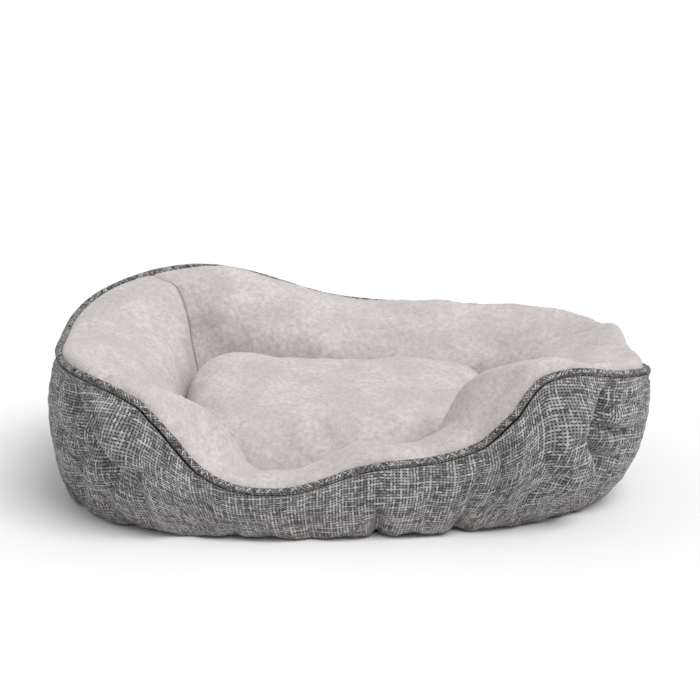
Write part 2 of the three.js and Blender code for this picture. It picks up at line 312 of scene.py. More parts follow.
def fold_field(bearing, height_share, along, total):
    """How far the folds press the outer cover in (negative) or swell it out, on the unrolled wall, and
    how far its swollen side slides over the fold, along the wall and up it."""
    field, slide = np.zeros(height_share.shape), np.zeros((2,) + height_share.shape)
    height = rim_height(bearing)
    turned = np.concatenate([bearing - 360, bearing, bearing + 360])
    unrolled = np.concatenate([along - total, along, along + total])
    for places, depth, before, after, swell in FOLDS:
        centre = np.interp(places[0][0], turned, unrolled)
        path = np.array([[np.interp(b, turned, unrolled), s * np.interp(b, turned, np.tile(height, 3))]
                         for b, s in places])
        u = centre + (along - centre + total / 2) % total - total / 2
        distance, share, away = path_distance(*np.broadcast_arrays(u[None], height_share * height), path)
        strength = np.clip(np.minimum(share, 1 - share) * 4, 0.0, 1) ** 0.7
        width = np.where(distance < 0, before, after)
        field -= depth * strength * np.exp(-np.abs(distance / width) ** 1.25)
        offset = math.copysign(0.022, swell)
        field += abs(swell) * strength * np.exp(-(((distance - offset) / 0.016) ** 2))
        over = math.copysign(1.0, swell) * distance
        slide -= abs(swell) * strength * np.exp(-(((over - 0.010) / 0.008) ** 2)) * away
    return field, slide


def crease_lean(bearing, down):
    """How many degrees the lining's columns lean at a share of the way down from the rim."""
    return sum(lerp(rim, well, down) * np.exp(-((turn_off(bearing - corner, 360) / 26) ** 2))
               for corner, (_, _, _, _, rim, well) in CREASES.items())


def crease_field(bearing, share, along, total):
    """How far the lining is drawn in at the corners, where share runs from the rim to the deck."""
    field = np.zeros(share.shape)
    for corner, (depth, at_rim, before, after, _, _) in CREASES.items():
        at = np.interp(corner % 360 if corner > 90 else corner, bearing, along)
        off = turn_off(along - at, total)
        # Columns close up towards the well, so widths are compared there.
        width = np.where(off < 0, before, after)[None] * lerp(0.55, 1.0, share)
        off = np.abs(off)[None] * lerp(1.0, 0.6, share)
        deep = depth * lerp(at_rim, 1.0, smooth(0.0, 0.5, share)) * smooth(0.0, 0.05, share)
        deep = deep * smooth(1.0, 0.86, share)
        field -= deep * np.exp(-((off / width) ** 1.2))
    return field


def swell_field(bearing, share):
    """How far the lining swells out beyond its plain shape."""
    field = np.zeros(share.shape)
    for place, level, height, wide, high in SWELLS:
        off = turn_off(bearing - place, 360) / wide
        field += height * np.exp(-(off**2)) * np.exp(-(((share - level) / high) ** 2))
    return field


def draw_tacks(points, bearing, along, total):
    """Pulls the hem in and up at each tack."""
    for place, size in TACKS:
        at = np.interp(place, np.concatenate([bearing - 360, bearing, bearing + 360]),
                       np.concatenate([along - total, along, along + total]))
        off = np.abs((along - at + total / 2) % total - total / 2)
        reach_up = np.exp(-(np.maximum(points[..., 2] - 0.004, 0) / 0.016) ** 1.3)
        pull = size * np.exp(-((off / TACK_WIDTH) ** 1.3))[None] * reach_up
        middle = np.array([0.0, PLAN_SHIFT])
        inwards = middle - points[..., :2]
        inwards /= np.linalg.norm(inwards, axis=-1, keepdims=True)
        points[..., :2] += inwards * (0.016 * pull)[..., None]
        points[..., 2] += 0.0020 * pull
    return points


# ---------------------------------------------------------------- cloth simulation
def closed_mesh(name, points):
    """A mesh from a grid that closes on itself both ways."""
    rows, columns = points.shape[:2]
    r, c = np.meshgrid(np.arange(rows), np.arange(columns), indexing="ij")
    nr, nc = (r + 1) % rows, (c + 1) % columns
    quads = np.stack([r * columns + c, r * columns + nc, nr * columns + nc, nr * columns + c], -1)
    mesh = bpy.data.meshes.new(name)
    mesh.from_pydata(points.reshape(-1, 3).tolist(), [], quads.reshape(-1, 4).tolist())
    piece = bpy.data.objects.new(name, mesh)
    bpy.context.scene.collection.objects.link(piece)
    return piece


def inflate(piece, held, frames, pressure, spare):
    """Points of a closed piece after cloth simulation, with held weights from 0, free, to 1, pinned."""
    group = piece.vertex_groups.new(name="held")
    levels = np.round(np.clip(held.ravel(), 0, 1), 1)
    for level in np.unique(levels):
        if level > 0:
            group.add(np.flatnonzero(levels == level).tolist(), float(level), "REPLACE")
    cloth = piece.modifiers.new("cloth", "CLOTH")
    settings = cloth.settings
    settings.quality = 6
    settings.mass = 0.25
    settings.tension_stiffness = settings.compression_stiffness = 18
    settings.shear_stiffness = 8
    settings.bending_stiffness = 0.35
    settings.use_pressure = True
    settings.uniform_pressure_force = pressure
    settings.vertex_group_mass = group.name
    settings.pin_stiffness = 3
    settings.shrink_min = -spare
    settings.effector_weights.gravity = 0
    cloth.collision_settings.use_collision = False
    cloth.point_cache.frame_end = frames
    scene = bpy.context.scene
    for number in range(1, frames + 1):
        scene.frame_set(number)
    bent = piece.evaluated_get(bpy.context.evaluated_depsgraph_get()).data
    points = np.empty(len(bent.vertices) * 3)
    bent.vertices.foreach_get("co", points)
    scene.frame_set(1)
    bpy.data.objects.remove(piece)
    return points.reshape(-1, 3)


def capped(rest, moved, limit):
    """Moved points, with the way from rest softly limited."""
    way = moved - rest
    far = np.linalg.norm(way, axis=-1, keepdims=True)
    limit = np.broadcast_to(limit, far.shape[:-1])[..., None]
    return rest + way * np.where(far > 1e-9, limit * np.tanh(far / limit) / np.maximum(far, 1e-9), 1)


# ---------------------------------------------------------------- finer grids
def halved(values, axis, closed):
    """Values with one smooth midpoint between each two neighbours along an axis."""
    v = np.moveaxis(values, axis, 0)
    if closed:
        before, start, end, after = np.roll(v, 1, 0), v, np.roll(v, -1, 0), np.roll(v, -2, 0)
    else:
        start, end = v[:-1], v[1:]
        before = np.concatenate([2 * v[:1] - v[1:2], v[:-2]])
        after = np.concatenate([v[2:], 2 * v[-1:] - v[-2:-1]])
    middle = (9 * (start + end) - before - after) / 16
    out = np.empty((len(v) + len(middle),) + v.shape[1:])
    out[0::2], out[1::2] = v, middle
    return np.moveaxis(out, 0, axis)


def finer(values):
    return halved(halved(values, 0, False), 1, True)


def thread_lengths(points, total):
    """Cloth coordinates along and up a grid that closes on itself along its columns, as near to the
    true lengths of its rows and columns as one pair of smooth fields can be."""
    rows, columns = points.shape[:2]
    wide = np.linalg.norm(np.roll(points, -1, 1) - points, axis=-1) - total / columns
    high = np.linalg.norm(np.diff(points, axis=0), axis=-1)
    ends = np.zeros((1, columns))
    turn_r = 2 - 2 * np.cos(math.pi * np.arange(2 * rows) / rows)[:, None]
    turn_c = 2 - 2 * np.cos(2 * math.pi * np.arange(columns) / columns)[None]

    def solve(source, weight_r, weight_c):
        waves_of = np.fft.fft2(np.concatenate([source, source[::-1]]))
        stiff = weight_r * turn_r + weight_c * turn_c
        stiff[0, 0] = 1
        waves_of[0, 0] = 0
        return np.fft.ifft2(waves_of / stiff).real[:rows]

    u = solve(np.roll(wide, 1, 1) - wide, 1.5, 1.0) + np.arange(columns) * total / columns
    v = solve(-np.diff(np.concatenate([ends, high, ends]), axis=0), 1.0, 1.5)
    return u, v - v.min()


# ---------------------------------------------------------------- meshes
def add_piece(name, points, faces, material, body, uv=None):
    mesh = bpy.data.meshes.new(name)
    mesh.from_pydata(np.asarray(points).reshape(-1, 3).tolist(), [], faces)
    if uv is not None:
        layer = mesh.uv_layers.new(name="cloth")
        loops = np.empty(len(mesh.loops), int)
        mesh.loops.foreach_get("vertex_index", loops)
        layer.data.foreach_set("uv", np.asarray(uv).reshape(-1, 2)[loops].ravel())
    mesh.polygons.foreach_set("use_smooth", [True] * len(mesh.polygons))
    mesh.materials.append(material)
    mesh.update()
    piece = bpy.data.objects.new(name, mesh)
    bpy.context.scene.collection.objects.link(piece)
    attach(piece, body)
    return piece


def grid_faces(rows, columns, closed_rows=False, closed_columns=False):
    r = np.arange(rows if closed_rows else rows - 1)
    c = np.arange(columns if closed_columns else columns - 1)
    r, c = np.meshgrid(r, c, indexing="ij")
    nr, nc = (r + 1) % rows, (c + 1) % columns
    faces = np.stack([r * columns + c, r * columns + nc, nr * columns + nc, nr * columns + c], -1)
    return faces.reshape(-1, 4).tolist()


def solidify(piece, thickness):
    modifier = piece.modifiers.new("thickness", "SOLIDIFY")
    modifier.thickness = thickness
    modifier.offset = -1
    return piece


# ---------------------------------------------------------------- materials
def srgb(code):
    values = [int(code[k:k + 2], 16) / 255 for k in (0, 2, 4)]
    return [v / 12.92 if v <= 0.04045 else ((v + 0.055) / 1.055) ** 2.4 for v in values] + [1.0]


class Shader:
    """A material being built. Each method adds a node and returns its output."""

    def __init__(self, name, roughness, specular=0.2, sheen=0.0, sheen_roughness=0.5):
        self.material = bpy.data.materials.new(name)
        self.material.use_nodes = True
        self.tree = self.material.node_tree
        self.bsdf = self.tree.nodes["Principled BSDF"]
        self.bsdf.inputs["Roughness"].default_value = roughness
        self.bsdf.inputs["Specular IOR Level"].default_value = specular
        self.bsdf.inputs["Sheen Weight"].default_value = sheen
        self.bsdf.inputs["Sheen Roughness"].default_value = sheen_roughness

    def node(self, kind, *values, out=0, **settings):
        node = self.tree.nodes.new("ShaderNode" + kind)
        for key, value in settings.items():
            setattr(node, key, value)
        for socket, value in zip(node.inputs, values):
            self.put(socket, value)
        return node.outputs[out]

    def put(self, socket, value):
        if isinstance(value, bpy.types.NodeSocket):
            self.tree.links.new(value, socket)
        elif value is not None:
            socket.default_value = value

    def math(self, operation, *values):
        return self.node("Math", *values, operation=operation)

    def ramp(self, value, low, high, to_low=0.0, to_high=1.0):
        return self.node("MapRange", value, low, high, to_low, to_high, interpolation_type="SMOOTHSTEP")

    def mix(self, share, a, b):
        node = self.tree.nodes.new("ShaderNodeMix")
        node.data_type = "RGBA"
        self.put(node.inputs[0], share)
        self.put(node.inputs[6], a)
        self.put(node.inputs[7], b)
        return node.outputs[2]

    def noise(self, vector, scale, detail=2.0, rough=0.5):
        node = self.tree.nodes.new("ShaderNodeTexNoise")
        self.put(node.inputs["Vector"], vector)
        self.put(node.inputs["Scale"], scale)
        self.put(node.inputs["Detail"], detail)
        self.put(node.inputs["Roughness"], rough)
        return node.outputs[0]

    def place(self):
        return self.node("TexCoord", out=3)

    def cloth(self):
        """Coordinates along and across the cloth, in metres."""
        node = self.tree.nodes.new("ShaderNodeUVMap")
        node.uv_map = "cloth"
        split = self.tree.nodes.new("ShaderNodeSeparateXYZ")
        self.put(split.inputs[0], node.outputs[0])
        return split.outputs[0], split.outputs[1]

    def vector(self, x, y, z=0.0):
        return self.node("CombineXYZ", x, y, z)

    def finish(self, colour, height=None, distance=0.0005, strength=1.0, roughness=None):
        self.put(self.bsdf.inputs["Base Color"], colour)
        if roughness is not None:
            self.put(self.bsdf.inputs["Roughness"], roughness)
        if height is not None:
            bump = self.tree.nodes.new("ShaderNodeBump")
            self.put(bump.inputs["Height"], height)
            bump.inputs["Distance"].default_value = distance
            bump.inputs["Strength"].default_value = strength
            self.put(self.bsdf.inputs["Normal"], bump.outputs[0])
        return self.material


def weave(s, u, v, pitch, tones, runs=0.30, sway=0.12):
    """Colour and height of a plain weave at cloth coordinates, from a gap, dark, middle and light
    tone. The gap tone is painted shade in the holes between threads, and the threads are painted
    darker towards it where they dive under. The threads are uneven: each changes tone in runs a few threads
    long."""
    gap, dark, middle, light = (srgb(tone) for tone in tones)
    drift = s.vector(s.math("MULTIPLY", u, 34.0), s.math("MULTIPLY", v, 34.0))
    shift = s.math("MULTIPLY", s.math("SUBTRACT", s.noise(drift, 1.0, 1.0), 0.5), 2 * sway)
    a = s.math("ADD", s.math("DIVIDE", u, pitch), shift)
    b = s.math("SUBTRACT", s.math("DIVIDE", v, pitch), shift)
    i, j = s.math("FLOOR", a), s.math("FLOOR", b)
    part_a, part_b = s.math("FRACT", a), s.math("FRACT", b)

    def thread(index, along, offset):
        own = s.node("TexWhiteNoise", None, s.math("ADD", index, offset), noise_dimensions="1D")
        lane = s.vector(s.math("MULTIPLY", index, 7.31), s.math("MULTIPLY", along, runs), offset)
        tone = s.math("ADD", s.math("MULTIPLY", s.math("SUBTRACT", own, 0.5), 0.22), s.noise(lane, 1.0, 1.0))
        colour = s.mix(s.ramp(tone, 0.30, 0.48), dark, middle)
        return s.mix(s.ramp(tone, 0.46, 0.68), colour, light)

    def cover(part):
        return s.ramp(s.math("ABSOLUTE", s.math("SUBTRACT", part, 0.5)), 0.37, 0.17)

    def crown(part):
        off = s.math("ABSOLUTE", s.math("SUBTRACT", part, 0.5))
        return s.math("SUBTRACT", 1.0, s.math("MULTIPLY", s.math("POWER", off, 2.0), 4.0))

    over = s.math("MODULO", s.math("ADD", s.math("ADD", i, j), 4000.0), 2.0)
    warp, weft = thread(i, b, 11.5), thread(j, a, 47.5)
    in_a, in_b = cover(part_a), cover(part_b)
    crown_a, crown_b = crown(part_a), crown(part_b)
    top_colour, under_colour = s.mix(over, weft, warp), s.mix(over, warp, weft)
    top = s.node("MapRange", over, 0.0, 1.0, in_b, in_a)
    under = s.node("MapRange", over, 0.0, 1.0, in_a, in_b)
    along = s.node("MapRange", over, 0.0, 1.0, crown_a, crown_b)
    # Painted shade: the holes take the gap tone, and the under thread is mixed a little towards it where it lies
    # low.
    colour = s.mix(under, gap, s.mix(0.12, under_colour, gap))
    # Painted shade: the top thread darkens towards the gap tone where it dives under.
    top_shaded = s.mix(s.ramp(along, 0.0, 0.7, 0.14, 0.0), top_colour, gap)
    colour = s.mix(top, colour, top_shaded)
    height = s.math("MULTIPLY", top, s.math("ADD", 0.35, s.math("MULTIPLY", along, 0.65)))
    height = s.math("MAXIMUM", height, s.math("MULTIPLY", under, 0.25))
    return colour, height


def turned(s, u, v):
    """Cloth coordinates turned by 45 degrees, for cloth cut on the bias."""
    root = math.sqrt(0.5)
    return (s.math("MULTIPLY", s.math("ADD", u, v), root),
            s.math("MULTIPLY", s.math("SUBTRACT", v, u), root))


def woven_material():
    s = Shader("woven_grey", 0.92, 0.15, 0.15, 0.4)
    u, v = s.cloth()
    # The first tone, near black, is painted shade in the holes between threads.
    colour, height = weave(s, u, v, 0.0031, ("19191a", "575658", "838183", "b4b2b0"))
    # Slightly warmer and darker towards the floor.
    _, _, z = split_place(s)
    low_tint = s.ramp(z, 0.036, 0.004, 0.0, 0.16)
    colour = s.mix(low_tint, colour, srgb("8b8178"))
    # Painted shade: the turned-in seam edge below the piping has no place on the cloth and is painted near
    # black, standing in for the shade in the seam's crevice.
    colour = s.mix(s.ramp(v, -0.002, -0.006), colour, srgb("0c0c0d"))
    return s.finish(colour, height, 0.0003, 0.6)


def split_place(s):
    node = s.tree.nodes.new("ShaderNodeSeparateXYZ")
    s.put(node.inputs[0], s.place())
    return node.outputs[0], node.outputs[1], node.outputs[2]


def piping_material():
    s = Shader("piping_grey", 0.92, 0.15)
    u, v = turned(s, *s.cloth())
    # The first tone, near black, is painted shade in the holes between threads.
    colour, height = weave(s, u, v, 0.0024, ("121213", "474647", "747374", "bdbbb9"), 0.4)
    return s.finish(colour, height, 0.0004, 0.9)


def plush_material():
    s = Shader("plush_light_grey", 1.0, 0.08, 0.32, 0.55)
    place = s.place()
    patches = s.noise(place, 26.0, 2.0)
    tufts = s.noise(place, 190.0, 3.0, 0.6)
    hairs = s.noise(place, 900.0, 2.0, 0.7)
    stretch = s.node("Mapping", place)
    stretch.node.inputs["Scale"].default_value = (260.0, 90.0, 700.0)
    strokes = s.noise(stretch, 1.0, 2.0, 0.6)
    colour = s.mix(s.ramp(patches, 0.35, 0.65), srgb("bcb5b2"), srgb("cdc6c3"))
    colour = s.mix(s.ramp(tufts, 0.3, 0.7, 0.0, 0.7), colour, srgb("a8a09d"))
    colour = s.mix(s.ramp(strokes, 0.56, 0.72, 0.0, 0.30), colour, srgb("857e7b"))
    colour = s.mix(s.ramp(hairs, 0.4, 0.75, 0.0, 0.45), colour, srgb("dcd6d3"))
    height = s.math("ADD", s.math("MULTIPLY", tufts, 0.9), s.math("MULTIPLY", hairs, 0.45))
    height = s.math("ADD", height, s.math("MULTIPLY", strokes, 0.25))
    return s.finish(colour, height, 0.0011, 0.75)


def lining_material():
    s = Shader("lining_grey", 0.95, 0.15)
    u, v = s.cloth()
    # The first tone is painted shade in the holes between the fine threads.
    colour, height = weave(s, u, v, 0.0011, ("7d7a76", "a19e99", "b8b4af", "cbc8c3"))
    return s.finish(s.mix(0.35, colour, srgb("b8b4af")), height, 0.00015, 0.5)


def base_material():
    s = Shader("base_dark", 0.9, 0.2)
    place = s.place()
    fibres = s.noise(place, 700.0, 3.0, 0.7)
    scuffs = s.noise(place, 30.0, 3.0, 0.6)
    colour = s.mix(fibres, srgb("242426"), srgb("4a4a4d"))
    colour = s.mix(s.ramp(scuffs, 0.55, 0.75, 0.0, 0.25), colour, srgb("77726c"))
    return s.finish(colour, fibres, 0.0003, 0.6)


def rubber_material():
    s = Shader("grip_rubber", 0.55, 0.4)
    speckle = s.noise(s.place(), 900.0, 2.0)
    return s.finish(s.mix(speckle, srgb("1b1b1c"), srgb("2c2c2e")), speckle, 0.0001, 0.4)


def fibre_material():
    s = Shader("fibre_white", 1.0, 0.1, 0.2)
    place = s.place()
    clumps, hairs = s.noise(place, 70.0, 4.0, 0.6), s.noise(place, 500.0, 3.0, 0.7)
    colour = s.mix(clumps, srgb("dcdcd6"), srgb("f7f7f3"))
    return s.finish(colour, s.math("ADD", clumps, s.math("MULTIPLY", hairs, 0.4)), 0.003, 0.8)


def thread_material(name, dark, light):
    s = Shader(name, 0.6, 0.3, 0.1)
    twist = s.noise(s.place(), 1500.0, 1.0)
    return s.finish(s.mix(twist, srgb(dark), srgb(light)), twist, 0.0002, 0.6)


WOVEN, PIPING, PLUSH = woven_material(), piping_material(), plush_material()
LINING, BASE, RUBBER, FIBRE = lining_material(), base_material(), rubber_material(), fibre_material()
THREAD = thread_material("thread_grey", "4c4d50", "77797d")
CORD = thread_material("cord_cotton", "cfcabf", "efece4")


# ---------------------------------------------------------------- the wall's surface
class Wall:
    """The grid of the stuffed wall: its outer cover and lining, and the cloth coordinates of both."""

    def __init__(self):
        self.bearing, marks = wall_columns()
        plan = round_point(reach(BULGE_LINE, self.bearing), 0.0, self.bearing)
        steps = np.linalg.norm(np.roll(plan, -1, 0) - plan, axis=1)
        self.total = steps.sum()
        self.along = np.concatenate([[0], np.cumsum(steps)[:-1]])
        outer, _, liner = wall_profiles(self.bearing)
        self.outer = self.shaped_outer(self.lift(outer))
        self.liner = self.shaped_liner(self.leaning(liner))
        self.liner_v = self.lengths(liner)
        self.marks = [2 * m for m in marks]
        self.simulate()
        self.refine()

    def lift(self, profile):
        return round_point(profile[..., 0], profile[..., 1], self.bearing[None])

    def leaning(self, profile):
        """The lining's grid, its columns leaning towards the well's corners on the way down."""
        rows = []
        for share, row in zip(np.linspace(0, 1, len(profile)), profile):
            bearing = self.bearing + crease_lean(self.bearing, smooth(0.0, 0.7, share))
            x, z = (np.interp(bearing, self.bearing, row[:, k], period=360) for k in (0, 1))
            rows.append(round_point(x, z, bearing))
        return np.stack(rows)

    @staticmethod
    def lengths(profile):
        steps = np.linalg.norm(np.diff(profile, axis=0), axis=-1)
        return np.concatenate([np.zeros((1, steps.shape[1])), np.cumsum(steps, 0)])

    def shaped_outer(self, points):
        share = points[..., 2] / rim_height(self.bearing)
        depth, slide = fold_field(self.bearing, share, self.along, self.total)
        rows = np.linspace(0, 1, OUTER_ROWS)[:, None]
        depth = depth * smooth(0.0, 0.10, rows) * smooth(1.0, 0.93, rows)
        # The simulation fills the cover out again by this much.
        depth = depth - 0.004 * np.sin(math.pi * rows) ** 0.5
        slide = slide * smooth(0.25, 0.45, rows) * smooth(1.0, 0.85, rows)
        out = normals(points)
        across, up = np.roll(points, -1, 1) - np.roll(points, 1, 1), np.gradient(points, axis=0)
        for way, far in zip((across, up), slide):
            way = way / np.linalg.norm(way, axis=-1, keepdims=True)
            points = points + way * far[..., None]
        points = points + out * depth[..., None]
        return draw_tacks(points, self.bearing, self.along, self.total)

    def shaped_liner(self, points):
        share = np.linspace(0, 1, LINER_ROWS)[:, None] * np.ones(len(self.bearing))
        depth = crease_field(self.bearing, share, self.along, self.total)
        depth = depth + swell_field(self.bearing, share)
        depth = depth + 0.003 * waves(points, 0.11, 5) * smooth(0.0, 0.15, share) * smooth(1.0, 0.8, share)
        return points + normals(points) * depth[..., None]

    def simulate(self):
        """Cloth simulation of the whole stuffed wall, held at its seams and creases."""
        under = [lerp(self.liner[-1], self.outer[0], t) for t in (0.25, 0.5, 0.75)]
        rest = np.concatenate([self.outer, self.liner, np.stack(under)])
        held = np.zeros(rest.shape[:2])
        top, last = OUTER_ROWS, OUTER_ROWS + LINER_ROWS
        held[:3], held[top - 2:top + 2], held[last - 2:] = 1, 1, 1
        share = np.linspace(0, 1, LINER_ROWS)[:, None] * np.ones(len(self.bearing))
        creased = crease_field(self.bearing, share, self.along, self.total)
        held[top:last] = np.maximum(held[top:last], smooth(-0.010, -0.026, creased))
        height_share = self.outer[..., 2] / rim_height(self.bearing)
        folded, _ = fold_field(self.bearing, height_share, self.along, self.total)
        held[:top] = np.maximum(held[:top], 0.8 * smooth(-0.003, -0.009, folded))
        moved = inflate(closed_mesh("wall_cloth", rest), held, 20, 4.0, 0.035).reshape(rest.shape)
        limit = np.full(rest.shape[:2], WALL_PUFF)
        limit[top:last] = lerp(WALL_PUFF, WELL_PUFF, smooth(0.45, 0.7, share)) * smooth(-0.03, 0.16, share)
        way = moved - rest
        for _ in range(8):
            wide = (way + np.roll(way, 1, 1) + np.roll(way, -1, 1)) / 3
            way[top + 1:last - 1] = ((wide[top:last - 2] + wide[top + 1:last - 1] + wide[top + 2:last]) / 3)
        result = capped(rest, rest + way, limit)
        self.outer, self.liner = result[:top], result[top:last]

    def refine(self):
        self.outer, self.liner = finer(self.outer), finer(self.liner)
        self.liner_v = finer(self.liner_v)
        self.bearing = halved(np.append(self.bearing, self.bearing[0] + 360), 0, False)[:-1]
        self.along = halved(np.append(self.along, self.total), 0, False)[:-1]
        soft = 0.0007 * waves(self.outer, 0.030, 21) + 0.0004 * waves(self.outer, 0.013, 22)
        rows = np.linspace(0, 1, len(self.outer))[:, None]
        fade = smooth(0.0, 0.08, rows) * smooth(1.0, 0.92, rows)
        self.outer = self.outer + normals(self.outer) * (soft * fade)[..., None]
        self.inner_outer = self.inside(self.outer, 0.007)
        self.inner_liner = self.inside(self.liner, 0.007)
        self.liner_u = np.broadcast_to(self.along, self.liner.shape[:2])
        self.outer_u, self.outer_v = thread_lengths(self.outer, self.total)
        _, edge, _ = wall_profiles(self.bearing)
        self.outer = np.concatenate([self.outer, self.lift(edge)])
        self.outer_u = np.concatenate([self.outer_u, self.outer_u[-3:]])
        # The turned-in edge rows get v = -0.01, which the woven material paints near black as painted shade of
        # the seam crevice.
        self.outer_v = np.concatenate([self.outer_v, np.full(edge.shape[:2], -0.01)])
        nap = 0.0012 * waves(self.liner, 0.045, 31) + 0.00045 * waves(self.liner, 0.011, 32)
        rows = np.linspace(0, 1, len(self.liner))[:, None]
        fade = smooth(0.0, 0.08, rows) * smooth(1.0, 0.92, rows)
        self.liner = self.liner + normals(self.liner) * (nap * fade)[..., None]

    @staticmethod
    def inside(points, inset):
        """The grid moved inwards, clear of its folds: each point goes as deep as the folds near it."""
        smoothed = points.copy()
        for _ in range(40):
            smoothed = (smoothed + np.roll(smoothed, 1, 1) + np.roll(smoothed, -1, 1)) / 3
            middle = (smoothed[1:-1] + smoothed[:-2] + smoothed[2:]) / 3
            smoothed = np.concatenate([smoothed[:1], middle, smoothed[-1:]])
        out = normals(smoothed)
        deep = ((points - smoothed) * out).sum(-1)
        for _ in range(7):
            deep = np.minimum(deep, np.minimum(np.roll(deep, 1, 1), np.roll(deep, -1, 1)))
            padded = np.concatenate([deep[:1], deep, deep[-1:]])
            deep = np.minimum(deep, np.minimum(padded[:-2], padded[2:]))
        return smoothed + out * (deep - inset)[..., None]

    def columns(self, start, stop):
        """Column numbers from one corner to another, and the length of the turns before each."""
        count = len(self.bearing)
        if stop <= start:
            stop += count
        numbers = np.arange(start, stop + 1)
        return numbers % count, self.total * (numbers // count)


def cloth_panel(name, points, u, v, wall, start, stop, material, thickness):
    """A panel of the wall between two of its columns. Its side edges are turned in at the seams."""
    numbers, turns = wall.columns(start, stop)
    part = points[:, numbers]
    edge = np.minimum(np.arange(len(numbers)), np.arange(len(numbers))[::-1])
    turn = 0.0012 * np.exp(-edge / 1.2)
    part = part - normals(points)[:, numbers] * turn[None, :, None]
    rows, columns = part.shape[:2]
    uv = np.stack([u[:, numbers] + turns, v[:, numbers]], -1)
    piece = add_piece(name, part, grid_faces(rows, columns), material, "bed", uv)
    return solidify(piece, thickness)


def fibre_fill(name, wall, start, stop):
    """Closed body of loose fibre inside a stretch of wall."""
    numbers, _ = wall.columns(start, stop)
    numbers = numbers[3:-3:3]
    outer, liner = wall.inner_outer[8:-8:3, numbers], wall.inner_liner[8:-8:3, numbers]
    loop = np.concatenate([outer, liner])
    rows, columns = loop.shape[:2]
    faces = grid_faces(rows, columns, closed_rows=True)
    points = np.concatenate([loop.reshape(-1, 3), [loop[:, 0].mean(0), loop[:, -1].mean(0)]])
    first, last = rows * columns, rows * columns + 1
    for r in range(rows):
        nr = (r + 1) % rows
        faces.append([nr * columns, r * columns, first][::-1])
        faces.append([r * columns + columns - 1, nr * columns + columns - 1, last][::-1])
    piece = add_piece(name, points, faces, FIBRE, "bed")
    return piece


def baffle_web(name, wall, mark):
    """Cloth web across the wall in a corner, from the outer cover to the lining."""
    outer = wall.inner_outer[8:-8:4, mark]
    liner = wall.inner_liner[::-1][8:-8:4, mark]
    count = min(len(outer), len(liner))
    pick = lambda line: line[np.linspace(0, len(line) - 1, count).round().astype(int)]
    outer, liner = pick(outer), pick(liner)
    across = np.linspace(0, 1, 9)[None, :, None]
    points = lerp(outer[:, None], liner[:, None], across)
    wide = float(np.linalg.norm(points[:, -1] - points[:, 0], axis=-1).mean())
    long = float(np.linalg.norm(np.diff(points[:, 4], axis=0), axis=-1).sum())
    uv = np.stack(np.meshgrid(np.linspace(0, wide, 9), np.linspace(0, long, count)), -1)
    piece = add_piece(name, points, grid_faces(count, 9), LINING, "bed", uv)
    solidify(piece, 0.0012)
    return piece


def build_wall(wall):
    right_front, right_back, left_back, left_front = wall.marks
    wrap = cloth_panel("outer_cover_wrap", wall.outer, wall.outer_u, wall.outer_v, wall, left_back, right_back,
                       WOVEN, COVER_THICKNESS)
    back = cloth_panel("outer_cover_back", wall.outer, wall.outer_u, wall.outer_v, wall, right_back, left_back,
                       WOVEN, COVER_THICKNESS)
    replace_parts(wrap, "outer_wrap")
    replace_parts(back, "outer_back")
    for k, side in enumerate(SIDES):
        start, stop = wall.marks[k], wall.marks[(k + 1) % 4]
        panel = cloth_panel(f"plush_liner_{side}", wall.liner, wall.liner_u, wall.liner_v, wall, start, stop,
                            PLUSH, PLUSH_THICKNESS)
        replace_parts(panel, f"liner_{side}")
        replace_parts(fibre_fill(f"fibre_fill_{side}", wall, start, stop), f"fill_{side}")
    for mark, corner in zip(wall.marks, ("front_right", "back_right", "back_left", "front_left")):
        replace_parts(baffle_web(f"baffle_web_{corner}", wall, mark), f"baffle_{corner}")


# ---------------------------------------------------------------- piping
def tube(path, radius, sides, closed=False):
    """Points and tangents-based frames of a tube along a path (N, 3); radius may vary along it."""
    ahead, behind = np.roll(path, -1, 0), np.roll(path, 1, 0)
    if not closed:
        ahead[-1], behind[0] = path[-1], path[0]
    along = ahead - behind
    along /= np.linalg.norm(along, axis=1, keepdims=True)
    out = path - np.array([0.0, PLAN_SHIFT, 0.0])
    out[:, 2] = 0
    out -= along * (out * along).sum(1, keepdims=True)
    out /= np.linalg.norm(out, axis=1, keepdims=True)
    up = np.cross(out, along)
    angle = np.linspace(0, 2 * math.pi, sides, endpoint=False)[:, None, None]
    radius = np.broadcast_to(radius, len(path))[None, :, None]
    return path[None] + radius * (np.cos(angle) * out[None] + np.sin(angle) * up[None])


def capped_tube(name, points, material, uv=None):
    """A piece from tube points (sides, steps, 3) with both ends closed."""
    sides, steps = points.shape[:2]
    faces = [f[::-1] for f in grid_faces(sides, steps, closed_rows=True)]
    faces.append([r * steps for r in range(sides)])
    faces.append([r * steps + steps - 1 for r in range(sides)][::-1])
    return add_piece(name, points, faces, material, "bed", uv)


def build_piping():
    gap = 0.2
    bearing = np.linspace(PIPING_JOIN + gap, PIPING_JOIN + 360 - gap, 1100)
    path = rim_path(bearing)
    steps = np.linalg.norm(np.diff(path, axis=0), axis=1)
    along = np.concatenate([[0], np.cumsum(steps)])
    puckers = 0.00010 * np.sin(along * 2 * math.pi / 0.0065) + 0.00018 * waves(path, 0.03, 41)
    ends = 0.0009 * np.exp(-(np.minimum(along, along[-1] - along) / 0.006) ** 2)
    sides = 14
    points = tube(path, PIPING_RADIUS + puckers + ends, sides)
    round_it = np.arange(sides) * 2 * math.pi * PIPING_RADIUS / sides
    uv = np.stack(np.broadcast_arrays(along[None], round_it[:, None]), -1)
    cover = capped_tube("piping_tube", points, PIPING, uv)
    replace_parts(cover, "piping_cover")
    cord = capped_tube("piping_filler", tube(path[::2], CORD_RADIUS, 8), CORD)
    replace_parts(cord, "piping_cord")


